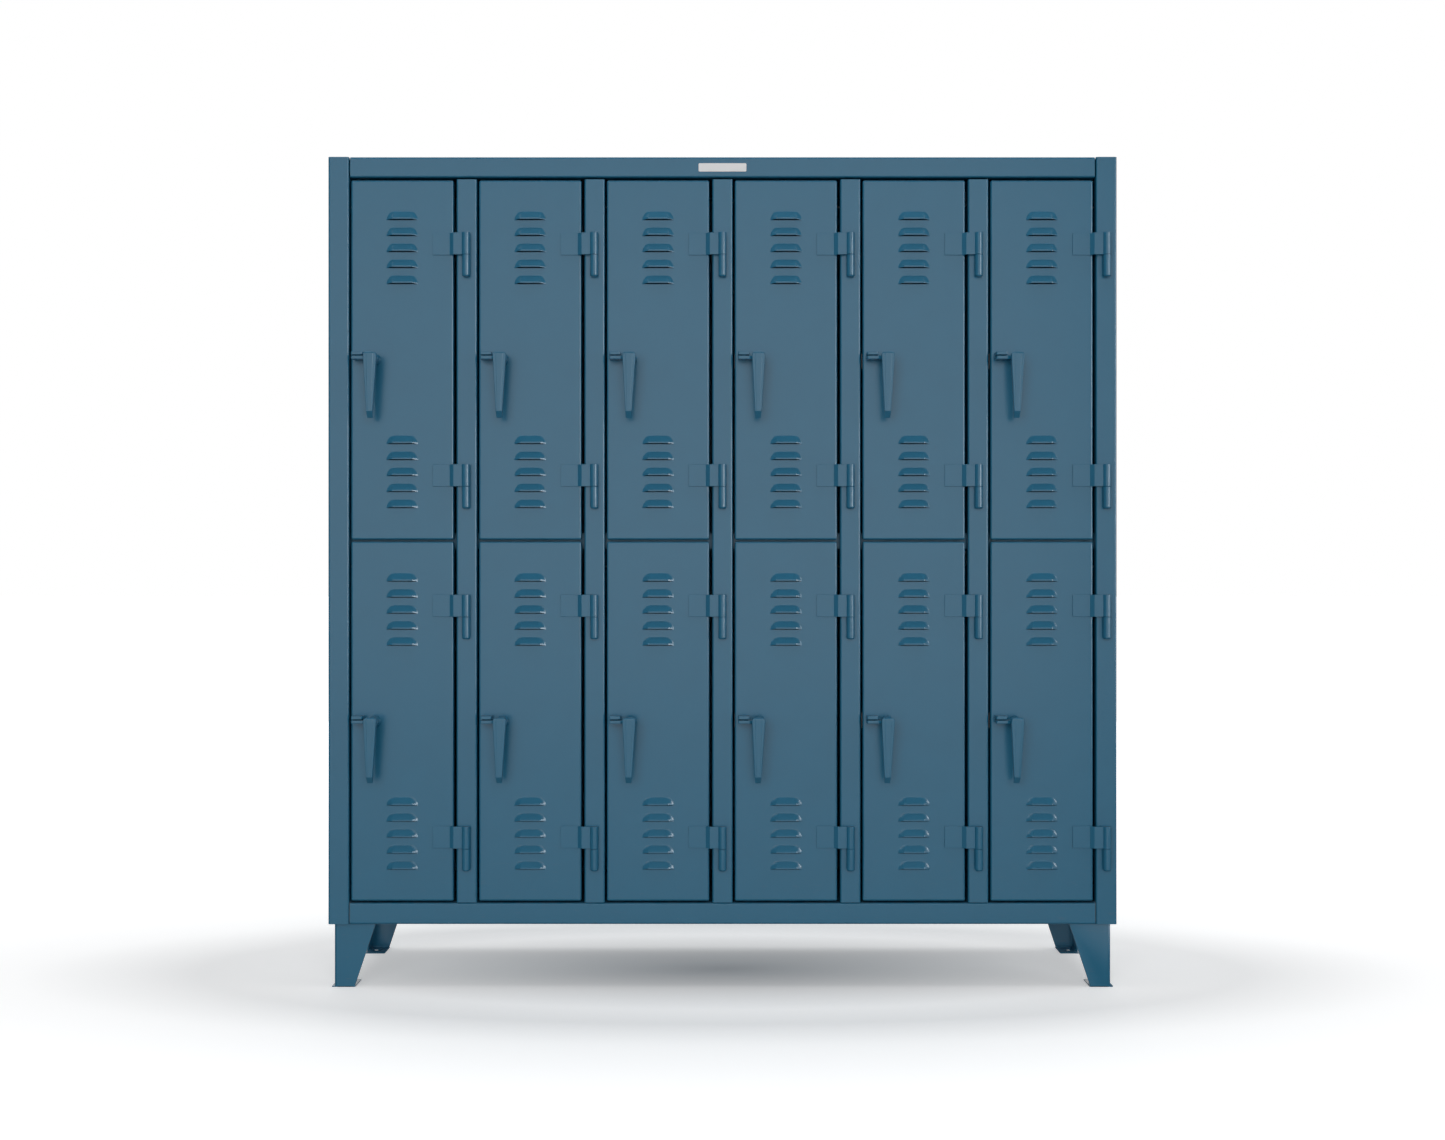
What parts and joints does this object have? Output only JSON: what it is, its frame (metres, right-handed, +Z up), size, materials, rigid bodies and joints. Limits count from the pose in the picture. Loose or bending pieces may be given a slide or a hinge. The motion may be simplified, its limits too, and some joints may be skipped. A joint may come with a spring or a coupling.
{
  "type": "school locker",
  "caption": "Double-tier welded steel locker on gusset legs, with louvred hinged doors, hanging lever handles and padlock lugs.",
  "frame": {"origin": "on the floor, at the middle of the width and of the overall depth, levers included", "axes": "+X to the right seen from the front, +Y from the doors to the back, +Z up"},
  "size_m": [1.8796, 0.5162, 1.9812],
  "materials": {
    "frame_paint": "satin blue powder coat",
    "panel_paint": "satin blue powder coat",
    "cast_paint": "satin blue paint over a casting",
    "zinc": "zinc plated",
    "blank_plate": "satin white"
  },
  "bodies": {
    "cabinet": {"left_side_panel": "frame_paint", "right_side_panel": "frame_paint", "back_panel": "panel_paint", "top_panel": "panel_paint", "bottom_panel": "panel_paint", "header_rail": "frame_paint", "sill_rail": "frame_paint", "divider_1": "frame_paint", "divider_2": "frame_paint", "divider_3": "frame_paint", "divider_4": "frame_paint", "divider_5": "frame_paint", "shelf_1": "panel_paint", "shelf_2": "panel_paint", "shelf_3": "panel_paint", "shelf_4": "panel_paint", "shelf_5": "panel_paint", "shelf_6": "panel_paint", "front_left_leg": "frame_paint", "front_right_leg": "frame_paint", "rear_left_leg": "frame_paint", "rear_right_leg": "frame_paint", "name_plate": "blank_plate"},
    "door_lower_1": {"door_lower_1": "frame_paint"},
    "handle_lower_1": {"handle_lower_1": "cast_paint", "latch_bar_lower_1": "zinc"},
    "door_lower_2": {"door_lower_2": "frame_paint"},
    "handle_lower_2": {"handle_lower_2": "cast_paint", "latch_bar_lower_2": "zinc"},
    "door_lower_3": {"door_lower_3": "frame_paint"},
    "handle_lower_3": {"handle_lower_3": "cast_paint", "latch_bar_lower_3": "zinc"},
    "door_lower_4": {"door_lower_4": "frame_paint"},
    "handle_lower_4": {"handle_lower_4": "cast_paint", "latch_bar_lower_4": "zinc"},
    "door_lower_5": {"door_lower_5": "frame_paint"},
    "handle_lower_5": {"handle_lower_5": "cast_paint", "latch_bar_lower_5": "zinc"},
    "door_lower_6": {"door_lower_6": "frame_paint"},
    "handle_lower_6": {"handle_lower_6": "cast_paint", "latch_bar_lower_6": "zinc"},
    "door_upper_1": {"door_upper_1": "frame_paint"},
    "handle_upper_1": {"handle_upper_1": "cast_paint", "latch_bar_upper_1": "zinc"},
    "door_upper_2": {"door_upper_2": "frame_paint"},
    "handle_upper_2": {"handle_upper_2": "cast_paint", "latch_bar_upper_2": "zinc"},
    "door_upper_3": {"door_upper_3": "frame_paint"},
    "handle_upper_3": {"handle_upper_3": "cast_paint", "latch_bar_upper_3": "zinc"},
    "door_upper_4": {"door_upper_4": "frame_paint"},
    "handle_upper_4": {"handle_upper_4": "cast_paint", "latch_bar_upper_4": "zinc"},
    "door_upper_5": {"door_upper_5": "frame_paint"},
    "handle_upper_5": {"handle_upper_5": "cast_paint", "latch_bar_upper_5": "zinc"},
    "door_upper_6": {"door_upper_6": "frame_paint"},
    "handle_upper_6": {"handle_upper_6": "cast_paint", "latch_bar_upper_6": "zinc"}
  },
  "joints": [
    {"name": "door_lower_1_hinge", "type": "hinge", "parent": "cabinet", "child": "door_lower_1", "pos_m": [-0.6096, -0.20913, 0.63619], "axis": [0, 0, 1], "range_deg": [0, 110]},
    {"name": "door_lower_2_hinge", "type": "hinge", "parent": "cabinet", "child": "door_lower_2", "pos_m": [-0.3048, -0.20913, 0.63619], "axis": [0, 0, 1], "range_deg": [0, 110]},
    {"name": "door_lower_3_hinge", "type": "hinge", "parent": "cabinet", "child": "door_lower_3", "pos_m": [0, -0.20913, 0.63619], "axis": [0, 0, 1], "range_deg": [0, 110]},
    {"name": "door_lower_4_hinge", "type": "hinge", "parent": "cabinet", "child": "door_lower_4", "pos_m": [0.3048, -0.20913, 0.63619], "axis": [0, 0, 1], "range_deg": [0, 110]},
    {"name": "door_lower_5_hinge", "type": "hinge", "parent": "cabinet", "child": "door_lower_5", "pos_m": [0.6096, -0.20913, 0.63619], "axis": [0, 0, 1], "range_deg": [0, 110]},
    {"name": "door_lower_6_hinge", "type": "hinge", "parent": "cabinet", "child": "door_lower_6", "pos_m": [0.9144, -0.20913, 0.63619], "axis": [0, 0, 1], "range_deg": [0, 110]},
    {"name": "door_upper_1_hinge", "type": "hinge", "parent": "cabinet", "child": "door_upper_1", "pos_m": [-0.6096, -0.20913, 1.49741], "axis": [0, 0, 1], "range_deg": [0, 110]},
    {"name": "door_upper_2_hinge", "type": "hinge", "parent": "cabinet", "child": "door_upper_2", "pos_m": [-0.3048, -0.20913, 1.49741], "axis": [0, 0, 1], "range_deg": [0, 110]},
    {"name": "door_upper_3_hinge", "type": "hinge", "parent": "cabinet", "child": "door_upper_3", "pos_m": [0, -0.20913, 1.49741], "axis": [0, 0, 1], "range_deg": [0, 110]},
    {"name": "door_upper_4_hinge", "type": "hinge", "parent": "cabinet", "child": "door_upper_4", "pos_m": [0.3048, -0.20913, 1.49741], "axis": [0, 0, 1], "range_deg": [0, 110]},
    {"name": "door_upper_5_hinge", "type": "hinge", "parent": "cabinet", "child": "door_upper_5", "pos_m": [0.6096, -0.20913, 1.49741], "axis": [0, 0, 1], "range_deg": [0, 110]},
    {"name": "door_upper_6_hinge", "type": "hinge", "parent": "cabinet", "child": "door_upper_6", "pos_m": [0.9144, -0.20913, 1.49741], "axis": [0, 0, 1], "range_deg": [0, 110]},
    {"name": "handle_lower_1_turn", "type": "hinge", "parent": "door_lower_1", "child": "handle_lower_1", "pos_m": [-0.82749, -0.1991, 0.63619], "axis": [0, -1, 0], "range_deg": [0, 90]},
    {"name": "handle_lower_2_turn", "type": "hinge", "parent": "door_lower_2", "child": "handle_lower_2", "pos_m": [-0.52269, -0.1991, 0.63619], "axis": [0, -1, 0], "range_deg": [0, 90]},
    {"name": "handle_lower_3_turn", "type": "hinge", "parent": "door_lower_3", "child": "handle_lower_3", "pos_m": [-0.21789, -0.1991, 0.63619], "axis": [0, -1, 0], "range_deg": [0, 90]},
    {"name": "handle_lower_4_turn", "type": "hinge", "parent": "door_lower_4", "child": "handle_lower_4", "pos_m": [0.08691, -0.1991, 0.63619], "axis": [0, -1, 0], "range_deg": [0, 90]},
    {"name": "handle_lower_5_turn", "type": "hinge", "parent": "door_lower_5", "child": "handle_lower_5", "pos_m": [0.39171, -0.1991, 0.63619], "axis": [0, -1, 0], "range_deg": [0, 90]},
    {"name": "handle_lower_6_turn", "type": "hinge", "parent": "door_lower_6", "child": "handle_lower_6", "pos_m": [0.69651, -0.1991, 0.63619], "axis": [0, -1, 0], "range_deg": [0, 90]},
    {"name": "handle_upper_1_turn", "type": "hinge", "parent": "door_upper_1", "child": "handle_upper_1", "pos_m": [-0.82749, -0.1991, 1.49741], "axis": [0, -1, 0], "range_deg": [0, 90]},
    {"name": "handle_upper_2_turn", "type": "hinge", "parent": "door_upper_2", "child": "handle_upper_2", "pos_m": [-0.52269, -0.1991, 1.49741], "axis": [0, -1, 0], "range_deg": [0, 90]},
    {"name": "handle_upper_3_turn", "type": "hinge", "parent": "door_upper_3", "child": "handle_upper_3", "pos_m": [-0.21789, -0.1991, 1.49741], "axis": [0, -1, 0], "range_deg": [0, 90]},
    {"name": "handle_upper_4_turn", "type": "hinge", "parent": "door_upper_4", "child": "handle_upper_4", "pos_m": [0.08691, -0.1991, 1.49741], "axis": [0, -1, 0], "range_deg": [0, 90]},
    {"name": "handle_upper_5_turn", "type": "hinge", "parent": "door_upper_5", "child": "handle_upper_5", "pos_m": [0.39171, -0.1991, 1.49741], "axis": [0, -1, 0], "range_deg": [0, 90]},
    {"name": "handle_upper_6_turn", "type": "hinge", "parent": "door_upper_6", "child": "handle_upper_6", "pos_m": [0.69651, -0.1991, 1.49741], "axis": [0, -1, 0], "range_deg": [0, 90]}
  ]
}
